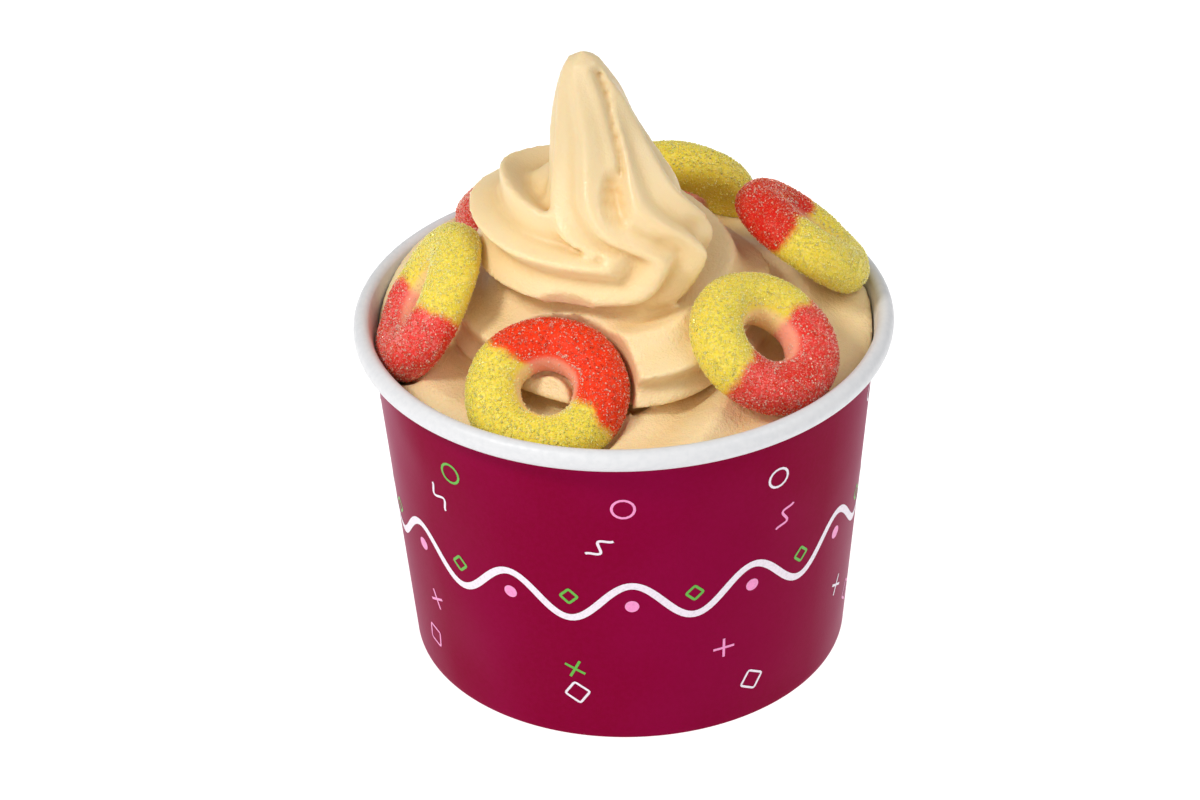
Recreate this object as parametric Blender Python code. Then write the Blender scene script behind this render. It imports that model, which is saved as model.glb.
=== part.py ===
"""A paper cup of swirled frozen yogurt with six gummy rings laid on it.

Every size is in millimetres. The cup's axis is the Z axis, Z = 0 is the table,
and -Y is the side that faces the viewer. Meshes are written in metres.
"""
import math

import bpy
import bmesh
import numpy as np

MM = 0.001                # one millimetre in Blender's metres
GAP = 0.3                 # clearance kept between two pieces that touch
TURN = 2.0 * math.pi

# The cup
CUP_HEIGHT = 78.7
RIM_RADIUS = 57.5         # outside of the rolled rim
BEAD_HALF_WIDTH = 1.96
BEAD_HALF_HEIGHT = 2.38
BOTTOM_RADIUS = 47.24     # outside of the wall on the table
TOP_RADIUS = 53.78        # outside of the wall just under the rolled rim
PAPER = 0.5
BASE_RECESS = 6.0         # from the table up to the underside of the base disc
CUP_SIDES = 64
BEAD_STEPS = 7

# The gummy rings: one round of a half-domed, half-flat section
RING_TUBE_SHARE = 0.335   # half the tube's width, as a share of the ring's radius
RING_DOME = 5.3           # from the ring's middle plane to the crown of its front
RING_BACK = 4.5           # from the middle plane to the flat of its back
RING_SIDES = 24
RING_SECTION_SIDES = 10

# name: (centre of the ring, azimuth and elevation of its face in degrees, outer radius)
RINGS = {
    "ring_front_left": ((-16.3, -33.4, 79.0), -93.4, 57.9, 16.8),
    "ring_front_right": ((28.8, -24.4, 84.0), -37.5, 56.2, 16.6),
    "ring_left": ((-40.7, -5.6, 84.8), -178.7, 31.7, 17.7),
    "ring_right_back": ((38.6, 9.7, 89.2), 18.7, 49.5, 16.5),
    "ring_back_right": ((13.5, 39.1, 84.2), 76.7, 32.3, 17.0),
    "ring_back_left": ((-20.2, 33.6, 89.2), 140.0, 53.1, 17.0),
}
RING_RED = {"ring_front_left", "ring_back_left", "ring_right_back"}

# The frozen yogurt is a ridged rope, wound into the cup and then drawn up to a point.
# Rows of the winding: turns wound so far, distance from the swirl's axis, height,
# half width, half height, depth of the ridges as a share of the width, roll in turns
WINDING = (
    (-1.10, 35.0, 60.0, 24.0, 13.0, 0.12, 0.560),
    (-0.90, 36.0, 62.0, 24.0, 13.5, 0.12, 0.540),
    (-0.75, 36.0, 67.0, 24.0, 14.0, 0.12, 0.520),
    (-0.62, 36.0, 70.0, 24.0, 13.5, 0.12, 0.500),
    (-0.50, 36.0, 64.5, 24.0, 13.0, 0.12, 0.470),
    (-0.36, 37.0, 62.0, 25.0, 13.0, 0.14, 0.420),
    (-0.22, 38.0, 62.0, 25.0, 13.0, 0.18, 0.341),
    (0.00, 35.0, 67.5, 23.0, 13.5, 0.16, 0.160),
    (0.11, 31.5, 70.0, 21.0, 13.5, 0.16, 0.130),
    (0.25, 26.0, 74.0, 20.0, 13.0, 0.16, 0.140),
    (0.50, 19.5, 79.0, 17.0, 10.0, 0.18, 0.170),
    (0.70, 19.5, 79.5, 17.0, 9.3, 0.18, 0.180),
    (0.82, 20.5, 80.5, 17.5, 9.5, 0.20, 0.185),
    (1.00, 18.5, 84.0, 16.5, 11.0, 0.23, 0.200),
    (1.25, 13.5, 94.6, 13.6, 12.7, 0.24, 0.280),
    (1.42, 12.5, 99.4, 14.2, 14.0, 0.32, 0.318),
    (1.52, 11.8, 100.0, 14.8, 14.2, 0.35, 0.326),
    (1.64, 12.0, 99.0, 13.9, 12.9, 0.31, 0.322),
)
# Rows of the draw, where the rope turns back over itself and rises to the tip: x and
# height of the section's inner end, x and height of its outer end, y of its middle,
# half depth towards the front, depth of the ridges, roll in turns
DRAW = (
    (-5.5, 109.0, -4.0, 86.6, -12.0, 13.0, 0.26, 0.3125),
    (-9.0, 108.0, 11.0, 88.5, -12.0, 12.8, 0.27, 0.305),
    (-11.5, 106.0, 19.3, 99.5, -11.5, 12.5, 0.27, 0.293),
    (-14.5, 104.5, 18.0, 105.6, -11.0, 12.5, 0.25, 0.270),
    (-16.5, 107.0, 15.6, 109.6, -10.2, 12.2, 0.21, 0.230),
    (-16.0, 112.0, 12.0, 114.0, -7.5, 11.8, 0.18, 0.195),
    (-15.2, 118.0, 8.0, 119.0, -4.0, 10.3, 0.16, 0.200),
    (-14.5, 124.0, 4.5, 124.5, -1.6, 8.6, 0.15, 0.2125),
    (-13.5, 130.0, 1.6, 130.5, -0.5, 6.9, 0.13, 0.200),
    (-12.1, 135.3, -1.7, 135.6, 0.0, 5.0, 0.12, 0.175),
    (-10.6, 138.3, -3.5, 138.4, 0.0, 3.5, 0.10, 0.155),
)
DRAW_FACING = 1.75        # the draw's sections face the front: turns from +X
RIDGES = 8
# How sharp the crests are along the rope: row numbers of the winding and the draw, and
# shares of a sharp-crested wave, the rest being a round one
CREST_ROWS = (0.0, 9.0, 13.0, 16.5, 18.5)
CREST_SHARPNESS = (0.55, 0.80, 0.95, 0.95, 0.25)
ROPE_STEPS_PER_ROW = 16
ROPE_SECTION_SIDES = 96
# The swirl's axis leans: (height, x, y)
SWIRL_AXIS = ((60.0, 0.0, 0.0), (82.0, -2.0, 0.0), (97.0, -6.0, 1.0), (140.0, -7.0, 0.0))
FILL_TOP = 70.0           # the yogurt that fills the cup under the swirl
# The core that the swirl's turns close round: radius and height
CORE = ((15.0, 12.0), (15.0, 70.0), (23.0, 78.0), (23.5, 86.0), (21.0, 88.5), (12.0, 92.0), (9.0, 98.0))
# A pit torn in the front of the cone: x, height, half width, half height, depth
PIT = (-1.2, 114.0, 3.6, 6.0, 2.6)

VOXEL = 0.8
SMOOTH_ROUNDS = 1
YOGURT_TRIANGLES = 6600
DENT_BLEND = 0.9          # how far outside a ring the yogurt is still pressed down
DENT_DEPTH = 3.6          # how far behind the ring's middle plane the yogurt is pressed
PRESS_REACH = 13.0        # yogurt further than this in front of a ring isn't pressed


def clear_scene():
    """Remove whatever the file holds, so that the script always starts the same."""
    for old in list(bpy.data.objects):
        bpy.data.objects.remove(old, do_unlink=True)


def plain_material(name, colour, roughness):
    """A Principled BSDF of one colour."""
    material = bpy.data.materials.new(name)
    material.use_nodes = True
    shader = material.node_tree.nodes["Principled BSDF"]
    shader.inputs["Base Color"].default_value = (*colour, 1.0)
    shader.inputs["Roughness"].default_value = roughness
    return material


def mesh_object(name, points, faces, material=None):
    """An object from points in millimetres; its faces point outwards."""
    mesh = bpy.data.meshes.new(name)
    mesh.from_pydata((np.asarray(points) * MM).tolist(), [], [list(map(int, f)) for f in faces])
    if material:
        mesh.materials.append(material)
    mesh.validate()
    obj = bpy.data.objects.new(name, mesh)
    bpy.context.scene.collection.objects.link(obj)
    return obj


def grid_faces(rows, columns, wrap_rows):
    """Quads of a grid whose columns close on themselves, and its rows too if asked."""
    i = np.arange(rows if wrap_rows else rows - 1)[:, None]
    j = np.arange(columns)[None, :]
    i_next = (i + 1) % rows
    j_next = (j + 1) % columns
    quads = np.stack([i * columns + j, i * columns + j_next,
                      i_next * columns + j_next, i_next * columns + j], axis=-1)
    return quads.reshape(-1, 4)


def wall_outside(height):
    """Outside radius of the cup's cone at a height."""
    share = np.clip(height / (CUP_HEIGHT - 2.0 * BEAD_HALF_HEIGHT), 0.0, 1.05)
    return BOTTOM_RADIUS + (TOP_RADIUS - BOTTOM_RADIUS) * share


def turned(name, profile, sides, material):
    """A profile of (radius, height) points, closed on itself, turned about the Z axis."""
    profile = np.asarray(profile)
    angle = np.arange(sides) * TURN / sides
    points = np.empty((sides, len(profile), 3))
    points[..., 0] = np.cos(angle)[:, None] * profile[:, 0]
    points[..., 1] = np.sin(angle)[:, None] * profile[:, 0]
    points[..., 2] = profile[:, 1]
    faces = grid_faces(sides, len(profile), True)[:, ::-1]
    return mesh_object(name, points.reshape(-1, 3), faces, material)


def make_cup_wall():
    """The cone of paper: rolled outwards at the rim, folded in under the base's skirt."""
    bead_radius = RIM_RADIUS - BEAD_HALF_WIDTH
    bead_height = CUP_HEIGHT - BEAD_HALF_HEIGHT
    bead_angles = np.radians(np.linspace(-125.0, 140.0, BEAD_STEPS + 2))
    bead = [(bead_radius + BEAD_HALF_WIDTH * math.cos(a), bead_height + BEAD_HALF_HEIGHT * math.sin(a))
            for a in bead_angles]
    inside_top = (wall_outside(bead_height) - PAPER, bead_height - 1.0)
    slot = PAPER + 2.0 * GAP
    fold_top = BASE_RECESS - GAP
    fold_outside = wall_outside(0.0) - PAPER - slot
    profile = [(wall_outside(0.0), 0.0), (wall_outside(72.0), 72.0)] + bead + [
        inside_top,
        (wall_outside(PAPER) - PAPER, PAPER),
        (fold_outside, PAPER),
        (fold_outside + wall_outside(fold_top) - wall_outside(0.0), fold_top),
        (fold_outside + wall_outside(fold_top) - wall_outside(0.0) - PAPER, fold_top),
        (fold_outside - PAPER, 0.0),
    ]
    paper = plain_material("printed_paper", (0.36, 0.02, 0.13), 0.45)
    return turned("cup_wall", profile, CUP_SIDES, paper)


def make_cup_base():
    """A paper disc with a skirt that reaches down into the wall's fold."""
    disc_bottom = BASE_RECESS
    disc_top = BASE_RECESS + PAPER
    skirt_bottom = PAPER + GAP

    def skirt_outside(height):
        return wall_outside(height) - PAPER - GAP

    profile = [
        (skirt_outside(skirt_bottom), skirt_bottom),
        (skirt_outside(disc_top), disc_top),
        (0.0, disc_top),
        (0.0, disc_bottom),
        (skirt_outside(disc_bottom) - PAPER, disc_bottom),
        (skirt_outside(skirt_bottom) - PAPER, skirt_bottom),
    ]
    paper = plain_material("white_paper", (0.86, 0.86, 0.84), 0.55)
    base = turned("cup_base", profile, CUP_SIDES, paper)
    merge_close_points(base, 0.01)
    return base


def merge_close_points(obj, distance):
    """Merge points closer than a distance and point the faces outwards."""
    shape = bmesh.new()
    shape.from_mesh(obj.data)
    bmesh.ops.remove_doubles(shape, verts=shape.verts, dist=distance * MM)
    bmesh.ops.dissolve_degenerate(shape, edges=shape.edges, dist=distance * MM)
    bmesh.ops.recalc_face_normals(shape, faces=shape.faces)
    shape.to_mesh(obj.data)
    shape.free()


def ring_frame(azimuth, elevation):
    """Two directions in a ring's plane, across and up the slope, and its face's direction."""
    a = math.radians(azimuth)
    e = math.radians(elevation)
    face = np.array([math.cos(e) * math.cos(a), math.cos(e) * math.sin(a), math.sin(e)])
    across = np.array([-math.sin(a), math.cos(a), 0.0])
    return across, np.cross(face, across), face


def ring_points(name, grow, sides, section_sides):
    """A ring's surface: a section, flat behind and domed in front, carried round a circle.

    grow moves the surface outwards, so that the same form cuts its seat in the yogurt.
    """
    centre, azimuth, elevation, radius = RINGS[name]
    across, upslope, face = ring_frame(azimuth, elevation)
    tube = radius * RING_TUBE_SHARE
    round_angle = np.arange(sides)[:, None] * TURN / sides
    section_angle = np.arange(section_sides)[None, :] * TURN / section_sides
    wave = np.sin(section_angle)
    depth = np.where(wave < 0.0, -(RING_BACK + grow) * np.abs(wave) ** 0.7, (RING_DOME + grow) * wave)
    reach = (radius - tube) + (tube + grow) * np.cos(section_angle)
    spread = np.cos(round_angle)[..., None] * across + np.sin(round_angle)[..., None] * upslope
    points = np.asarray(centre) + reach[..., None] * spread + depth[..., None] * face
    return points.reshape(-1, 3)


def make_ring(name, material):
    """One gummy ring."""
    points = ring_points(name, 0.0, RING_SIDES, RING_SECTION_SIDES)
    obj = mesh_object(name, points, grid_faces(RING_SIDES, RING_SECTION_SIDES, True), material)
    merge_close_points(obj, 0.001)
    return obj


def rounded_rows(table, steps):
    """A smooth curve through the rows of a table (Catmull-Rom), steps points to a row."""
    rows = np.asarray(table, dtype=float)
    padded = np.vstack([2.0 * rows[0] - rows[1], rows, 2.0 * rows[-1] - rows[-2]])
    t = (np.arange(steps) / steps)[None, :, None]
    p0, p1, p2, p3 = (padded[k:k + len(rows) - 1, None, :] for k in range(4))
    curve = 0.5 * (2.0 * p1 + (p2 - p0) * t + (2.0 * p0 - 5.0 * p1 + 4.0 * p2 - p3) * t ** 2
                   + (3.0 * p1 - p0 - 3.0 * p2 + p3) * t ** 3)
    return np.vstack([curve.reshape(-1, rows.shape[1]), rows[-1:]])


def swirl_axis(height):
    """Where the swirl's axis stands at a height."""
    heights, x, y = np.asarray(SWIRL_AXIS).T
    return np.stack([np.interp(height, heights, x), np.interp(height, heights, y)], axis=-1)


def compass(turns):
    """The level direction at so many turns from +X."""
    angle = np.asarray(turns) * TURN
    return np.stack([np.cos(angle), np.sin(angle)], axis=-1)


def rope_rows():
    """Rows of the rope: middle, direction faced, half depth, vector across, ridges, roll."""
    rows = [(*(swirl_axis(z) + reach * compass(turns)), z, turns, half_out, 0.0, 0.0, -half_high, ridge, roll)
            for turns, reach, z, half_out, half_high, ridge, roll in WINDING]
    for inner_x, inner_z, outer_x, outer_z, y, half_out, ridge, roll in DRAW:
        rows.append((0.5 * (inner_x + outer_x), y, 0.5 * (inner_z + outer_z), DRAW_FACING, half_out,
                     0.5 * (outer_x - inner_x), 0.0, 0.5 * (outer_z - inner_z), ridge, roll))
    return rows


def rope_surface():
    """The rope of yogurt: a ridged oval section carried along its winding.

    A point of the section lies at an angle from outwards to across. Its distance from
    the rope's middle is the oval's, less a share that the ridges' wave gives: nought on
    a crest and greatest in a valley.
    """
    path = rounded_rows(rope_rows(), ROPE_STEPS_PER_ROW).T
    middle = path[:3].T
    facing, half_out = path[3:5]
    across = path[5:8].T
    ridge_depth, roll = path[8:]
    out = half_out[:, None] * np.column_stack([compass(facing), np.zeros_like(facing)])
    angle = np.arange(ROPE_SECTION_SIDES)[None, :] * TURN / ROPE_SECTION_SIDES
    wave = 0.5 * RIDGES * (angle - roll[:, None] * TURN)
    sharp = np.interp(np.arange(len(middle)) / ROPE_STEPS_PER_ROW, CREST_ROWS, CREST_SHARPNESS)[:, None]
    valley = sharp * np.abs(np.sin(wave)) + (1.0 - sharp) * np.sin(wave) ** 2
    size = 1.0 - ridge_depth[:, None] * valley
    points = (middle[:, None, :] + (size * np.cos(angle))[..., None] * out[:, None, :]
              + (size * np.sin(angle))[..., None] * across[:, None, :])
    rows = len(middle)
    faces = [list(f) for f in grid_faces(rows, ROPE_SECTION_SIDES, False)]
    flat = points.reshape(-1, 3)
    first_cap = len(flat)
    tip = middle[-1] + [0.0, 0.0, 0.6 * half_out[-1]]
    flat = np.vstack([flat, middle[0], tip])
    last = (rows - 1) * ROPE_SECTION_SIDES
    for j in range(ROPE_SECTION_SIDES):
        k = (j + 1) % ROPE_SECTION_SIDES
        faces.append([k, j, first_cap])
        faces.append([last + j, last + k, first_cap + 1])
    return flat, faces


def rounded_stub(profile, sides, centre):
    """A turned body with points on the axis at both ends, moved to a centre."""
    profile = np.asarray(profile)
    angle = np.arange(sides) * TURN / sides
    points = np.empty((len(profile), sides, 3))
    points[..., 0] = centre[0] + profile[:, :1] * np.cos(angle)
    points[..., 1] = centre[1] + profile[:, :1] * np.sin(angle)
    points[..., 2] = profile[:, 1:]
    faces = [list(f) for f in grid_faces(len(profile), sides, False)]
    faces.append(list(range(sides))[::-1])
    faces.append([(len(profile) - 1) * sides + j for j in range(sides)])
    return points.reshape(-1, 3), faces


def join_meshes(parts):
    """Several closed surfaces as one list of points and faces."""
    points = np.vstack([p for p, _ in parts])
    starts = np.cumsum([0] + [len(p) for p, _ in parts[:-1]])
    faces = [[v + int(start) for v in face] for start, (_, part) in zip(starts, parts) for face in part]
    return points, faces


def press_under_rings(points):
    """Press the yogurt down behind each ring, easing out beyond the ring's edge.

    The depth in front of a ring's seat is cut to a limit that grows with the distance
    from the ring's edge, so that the ring lies in a soft hollow.
    """
    for centre, azimuth, elevation, radius in RINGS.values():
        face = ring_frame(azimuth, elevation)[2]
        offset = points - np.asarray(centre)
        depth = offset @ face
        away = np.linalg.norm(offset - depth[:, None] * face, axis=1)
        beyond = np.clip((away - radius - 0.3) / DENT_BLEND, 0.0, None)
        limit = -DENT_DEPTH + DENT_BLEND * beyond * (2.5 + beyond)
        hole = radius * (1.0 - 2.0 * RING_TUBE_SHARE)
        limit = limit + 2.6 * np.clip(1.0 - (away / hole) ** 2, 0.0, None)
        ease = np.clip((PRESS_REACH - depth) / (0.5 * PRESS_REACH), 0.0, 1.0)
        pressed = np.clip(depth - limit, 0.0, None) * ease * ease * (3.0 - 2.0 * ease)
        points = points - np.where(away < radius + 3.0 * DENT_BLEND, pressed, 0.0)[:, None] * face
    return points


def tear_pit(points):
    """Push the front of the cone in where it is torn, most in the pit's middle."""
    x, z, half_wide, half_high, depth = PIT
    apart = np.hypot((points[:, 0] - x) / half_wide, (points[:, 2] - z) / half_high)
    push = np.where(points[:, 1] < 0.0, depth * np.clip(1.0 - apart ** 2, 0.0, None) ** 1.5, 0.0)
    points = points.copy()
    points[:, 1] += push
    return points


def keep_inside_cup(points):
    """Hold the yogurt clear of the cup's wall and base."""
    limit = wall_outside(points[:, 2]) - PAPER - GAP
    radius = np.hypot(points[:, 0], points[:, 1])
    share = np.where(points[:, 2] < CUP_HEIGHT + 3.0, np.minimum(1.0, limit / np.maximum(radius, 1e-6)), 1.0)
    points = points.copy()
    points[:, :2] *= share[:, None]
    points[:, 2] = np.maximum(points[:, 2], BASE_RECESS + PAPER + GAP)
    return points


def applied(obj):
    """The mesh that an object's modifiers give, put in place of its own."""
    graph = bpy.context.evaluated_depsgraph_get()
    mesh = bpy.data.meshes.new_from_object(obj.evaluated_get(graph))
    obj.modifiers.clear()
    old = obj.data
    obj.data = mesh
    bpy.data.meshes.remove(old)
    return obj


def keep_largest_shell(obj):
    """Drop every loose shell but the one with most points, which also fills sealed hollows."""
    shape = bmesh.new()
    shape.from_mesh(obj.data)
    shape.verts.ensure_lookup_table()
    unseen = set(range(len(shape.verts)))
    shells = []
    while unseen:
        stack = [unseen.pop()]
        shell = set(stack)
        while stack:
            for edge in shape.verts[stack.pop()].link_edges:
                for vert in edge.verts:
                    if vert.index in unseen:
                        unseen.discard(vert.index)
                        shell.add(vert.index)
                        stack.append(vert.index)
        shells.append(shell)
    largest = max(shells, key=len)
    loose = [v for v in shape.verts if v.index not in largest]
    bmesh.ops.delete(shape, geom=loose, context="VERTS")
    shape.to_mesh(obj.data)
    shape.free()


def move_points(obj, rule):
    """Apply a rule on points in millimetres to a mesh."""
    mesh = obj.data
    flat = np.empty(3 * len(mesh.vertices), dtype=np.float32)
    mesh.vertices.foreach_get("co", flat)
    points = rule(flat.reshape(-1, 3).astype(float) / MM)
    mesh.vertices.foreach_set("co", (points * MM).astype(np.float32).ravel())
    mesh.update()


def fuse(obj):
    """Rebuild an object's surface on a fine lattice, so that overlapping shells become one."""
    remesh = obj.modifiers.new("fuse", "REMESH")
    remesh.mode = "VOXEL"
    remesh.voxel_size = VOXEL * MM
    applied(obj)
    keep_largest_shell(obj)


def make_yogurt():
    """The yogurt: cup filling, core and wound rope fused, then pressed under the rings."""
    floor = BASE_RECESS + PAPER + GAP
    fill = rounded_stub([(wall_outside(floor) - PAPER - GAP, floor),
                         (wall_outside(FILL_TOP) - PAPER - GAP, FILL_TOP)], CUP_SIDES, (0.0, 0.0))
    core = rounded_stub(CORE, 32, (-3.0, 0.0))
    rope_points, rope_faces = rope_surface()
    points, faces = join_meshes([fill, core, (keep_inside_cup(rope_points), rope_faces)])
    cream = plain_material("frozen_yogurt", (0.90, 0.66, 0.38), 0.4)
    yogurt = mesh_object("frozen_yogurt", points, faces)
    fuse(yogurt)
    move_points(yogurt, tear_pit)
    move_points(yogurt, press_under_rings)
    move_points(yogurt, keep_inside_cup)
    fuse(yogurt)
    soften = yogurt.modifiers.new("soften", "SMOOTH")
    soften.factor = 0.5
    soften.iterations = SMOOTH_ROUNDS
    applied(yogurt)
    yogurt.data.materials.append(cream)
    thin = yogurt.modifiers.new("thin", "DECIMATE")
    thin.ratio = YOGURT_TRIANGLES / (2.0 * len(yogurt.data.polygons))
    thin.use_collapse_triangulate = True
    applied(yogurt)
    move_points(yogurt, keep_inside_cup)
    seat_rings(yogurt)
    return yogurt


def seat_rings(yogurt):
    """Cut each ring's form, grown by the clearance, out of the yogurt.

    The EXACT solver leaves nothing of a surface with creases this fine; MANIFOLD cuts it.
    """
    cutters = []
    for name in RINGS:
        points = ring_points(name, GAP, RING_SIDES, RING_SECTION_SIDES)
        cutter = mesh_object(name + "_seat", points, grid_faces(RING_SIDES, RING_SECTION_SIDES, True))
        merge_close_points(cutter, 0.001)
        cutters.append(cutter)
        cut = yogurt.modifiers.new("seat", "BOOLEAN")
        cut.operation = "DIFFERENCE"
        cut.solver = "MANIFOLD"
        cut.object = cutter
    applied(yogurt)
    for cutter in cutters:
        bpy.data.objects.remove(cutter, do_unlink=True)
    keep_largest_shell(yogurt)
    merge_close_points(yogurt, 0.02)


def main():
    """Build the cup, the yogurt and the rings."""
    clear_scene()
    make_cup_wall()
    make_cup_base()
    make_yogurt()
    yellow = plain_material("yellow_gummy", (0.80, 0.66, 0.08), 0.5)
    red = plain_material("red_gummy", (0.80, 0.06, 0.02), 0.5)
    for name in RINGS:
        make_ring(name, red if name in RING_RED else yellow)


if __name__ == "__main__":
    main()
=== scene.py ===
"""A paper cup of swirled frozen yogurt with six sugared gummy rings, dressed for its portrait.

Sizes are in millimetres unless a name says otherwise. The cup's axis is the Z axis,
Z = 0 is the table and -Y is the side that faces the viewer.
"""
import math

import bmesh
import bpy
import numpy as np
from mathutils import Matrix, Vector


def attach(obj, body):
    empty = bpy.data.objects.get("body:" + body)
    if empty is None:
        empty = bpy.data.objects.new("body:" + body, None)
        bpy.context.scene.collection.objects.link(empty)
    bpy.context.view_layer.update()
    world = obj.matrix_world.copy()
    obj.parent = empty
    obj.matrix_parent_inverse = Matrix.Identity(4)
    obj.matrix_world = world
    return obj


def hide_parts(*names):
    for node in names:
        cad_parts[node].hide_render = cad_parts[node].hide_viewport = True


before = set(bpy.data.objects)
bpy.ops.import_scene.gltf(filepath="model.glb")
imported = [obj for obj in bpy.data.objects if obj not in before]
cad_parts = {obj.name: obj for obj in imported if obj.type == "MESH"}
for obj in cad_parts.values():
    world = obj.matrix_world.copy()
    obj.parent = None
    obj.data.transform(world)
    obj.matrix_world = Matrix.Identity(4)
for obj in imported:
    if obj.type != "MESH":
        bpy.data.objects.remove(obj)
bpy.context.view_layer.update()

MM = 0.001                # one millimetre in Blender's metres
TURN = 2.0 * math.pi

# The cup
CUP_HEIGHT = 78.7
RIM_RADIUS = 57.5
BEAD_HALF_WIDTH = 1.96
BEAD_HALF_HEIGHT = 2.38
BOTTOM_RADIUS = 47.24
TOP_RADIUS = 53.78
PAPER = 0.5
BASE_RECESS = 6.0
GAP = 0.3
CUP_SIDES = 288
MID_HEIGHT = 38.0         # where a drawing laid on the cone keeps its true width
SEAM_TURN = 0.24          # where the paper's ends overlap, in turns from +X: at the back
SEAM_WIDTH = 7.0
SEAM_STEP = 0.3

# The print: how far it stands proud, and the stroke of its small shapes
PRINT_PROUD = 0.06
MARK_STROKE = 0.55
# Rows of small shapes: height, how many, and how far the row is shifted
MARK_ROWS = ((64.0, 9, 0.35), (54.0, 8, 0.9), (21.0, 9, 0.1), (10.5, 8, 0.6))
GARLAND_HEIGHT = 37.5
GARLAND_SWING = 4.6
GARLAND_WAVES = 12
GARLAND_STROKE = 1.7

# The gummy rings
RING_TUBE_SHARE = 0.335
RING_DOME = 5.3
RING_BACK = 4.5
RING_SIDES = 144
RING_SECTION_SIDES = 56
HOLE_WALL = 0.72          # how squarely the section faces the ring's axis where it lies bare
# name: (centre, azimuth and elevation of its face in degrees, outer radius)
RINGS = {
    "front_left": ((-16.3, -33.4, 79.0), -93.4, 57.9, 16.8),
    "front_right": ((28.8, -24.4, 84.0), -37.5, 56.2, 16.6),
    "left": ((-40.7, -5.6, 84.8), -178.7, 31.7, 17.7),
    "right_back": ((38.6, 9.7, 89.2), 18.7, 49.5, 16.5),
    "back_right": ((13.5, 39.1, 84.2), 76.7, 32.3, 17.0),
    "back_left": ((-20.2, 33.6, 89.2), 140.0, 53.1, 17.0),
}
# Where each ring turns from yellow to red: direction of the red half in degrees from
# the across direction, how far the border lies from the centre, and the red's colour
RED_HALF = {
    "front_left": (52.6, 0.5, (0.86, 0.034, 0.002)),
    "front_right": (-82.9, 0.5, (0.74, 0.022, 0.012)),
    "left": (-69.4, 0.0, (0.78, 0.030, 0.018)),
    "right_back": (55.2, 2.3, (0.64, 0.010, 0.004)),
    "back_right": (-90.0, 2.6, (0.74, 0.022, 0.012)),
    "back_left": (-15.0, -3.0, (0.66, 0.014, 0.008)),
}
YELLOW = (0.80, 0.615, 0.042)
# How much of each ring's sugar on the red stays white
FROST = {"front_left": 0.03, "front_right": 0.22, "left": 0.28, "right_back": 0.05,
         "back_right": 0.10, "back_left": 0.26}

# The yogurt: turns wound, distance from the axis, height, half width, half height,
# depth of the ridges, roll in turns
WINDING = (
    (-1.10, 35.0, 60.0, 24.0, 13.0, 0.12, 0.560),
    (-0.90, 36.0, 62.0, 24.0, 13.5, 0.12, 0.540),
    (-0.75, 36.0, 67.0, 24.0, 14.0, 0.12, 0.520),
    (-0.62, 36.0, 70.0, 24.0, 13.5, 0.12, 0.500),
    (-0.50, 36.0, 64.5, 24.0, 13.0, 0.12, 0.470),
    (-0.36, 37.0, 62.0, 25.0, 13.0, 0.14, 0.420),
    (-0.22, 38.0, 62.0, 25.0, 13.0, 0.18, 0.341),
    (0.00, 35.0, 67.5, 23.0, 13.5, 0.16, 0.160),
    (0.11, 31.5, 70.0, 21.0, 13.5, 0.16, 0.130),
    (0.25, 26.0, 74.0, 20.0, 13.0, 0.16, 0.140),
    (0.50, 19.5, 79.0, 17.0, 10.0, 0.18, 0.170),
    (0.70, 19.5, 79.5, 17.0, 9.3, 0.18, 0.180),
    (0.82, 20.5, 80.5, 17.5, 9.5, 0.20, 0.185),
    (1.00, 18.5, 84.0, 16.5, 11.0, 0.23, 0.200),
    (1.25, 13.5, 94.6, 13.6, 12.7, 0.24, 0.280),
    (1.42, 12.5, 99.4, 14.2, 14.0, 0.32, 0.318),
    (1.52, 11.8, 100.0, 14.8, 14.2, 0.35, 0.326),
    (1.64, 12.0, 99.0, 13.9, 12.9, 0.31, 0.322),
)
# x and height of the section's inner end, x and height of its outer end, y of its
# middle, half depth towards the front, depth of the ridges, roll in turns
DRAW = (
    (-5.5, 109.0, -4.0, 86.6, -12.0, 13.0, 0.26, 0.3125),
    (-9.0, 108.0, 11.0, 88.5, -12.0, 12.8, 0.27, 0.305),
    (-11.5, 106.0, 19.3, 99.5, -11.5, 12.5, 0.27, 0.293),
    (-14.5, 104.5, 18.0, 105.6, -11.0, 12.5, 0.25, 0.270),
    (-16.5, 107.0, 15.6, 109.6, -10.2, 12.2, 0.21, 0.230),
    (-16.0, 112.0, 12.0, 114.0, -7.5, 11.8, 0.18, 0.195),
    (-15.2, 118.0, 8.0, 119.0, -4.0, 10.3, 0.16, 0.200),
    (-14.5, 124.0, 4.5, 124.5, -1.6, 8.6, 0.15, 0.2125),
    (-13.5, 130.0, 1.6, 130.5, -0.5, 6.9, 0.13, 0.200),
    (-12.1, 135.3, -1.7, 135.6, 0.0, 5.0, 0.12, 0.175),
    (-10.6, 138.3, -3.5, 138.4, 0.0, 3.5, 0.10, 0.155),
)
DRAW_FACING = 1.75
RIDGES = 8
# How sharp the crests are along the rope: row numbers of the winding and the draw, and
# shares of a sharp-crested wave, the rest being a round one
CREST_ROWS = (0.0, 9.0, 13.0, 16.5, 18.5)
CREST_SHARPNESS = (0.55, 0.80, 0.95, 0.95, 0.25)
ROPE_STEPS_PER_ROW = 24
ROPE_SECTION_SIDES = 160
SWIRL_AXIS = ((60.0, 0.0, 0.0), (82.0, -2.0, 0.0), (97.0, -6.0, 1.0), (140.0, -7.0, 0.0))
FILL_TOP = 70.0
# The core that fills the swirl from inside: radius and height
CORE = ((15.0, 12.0), (15.0, 70.0), (23.0, 78.0), (23.5, 86.0), (21.0, 88.5), (12.0, 92.0),
        (9.0, 98.0))
CORE_CENTRE = (-3.0, 0.0)
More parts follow.
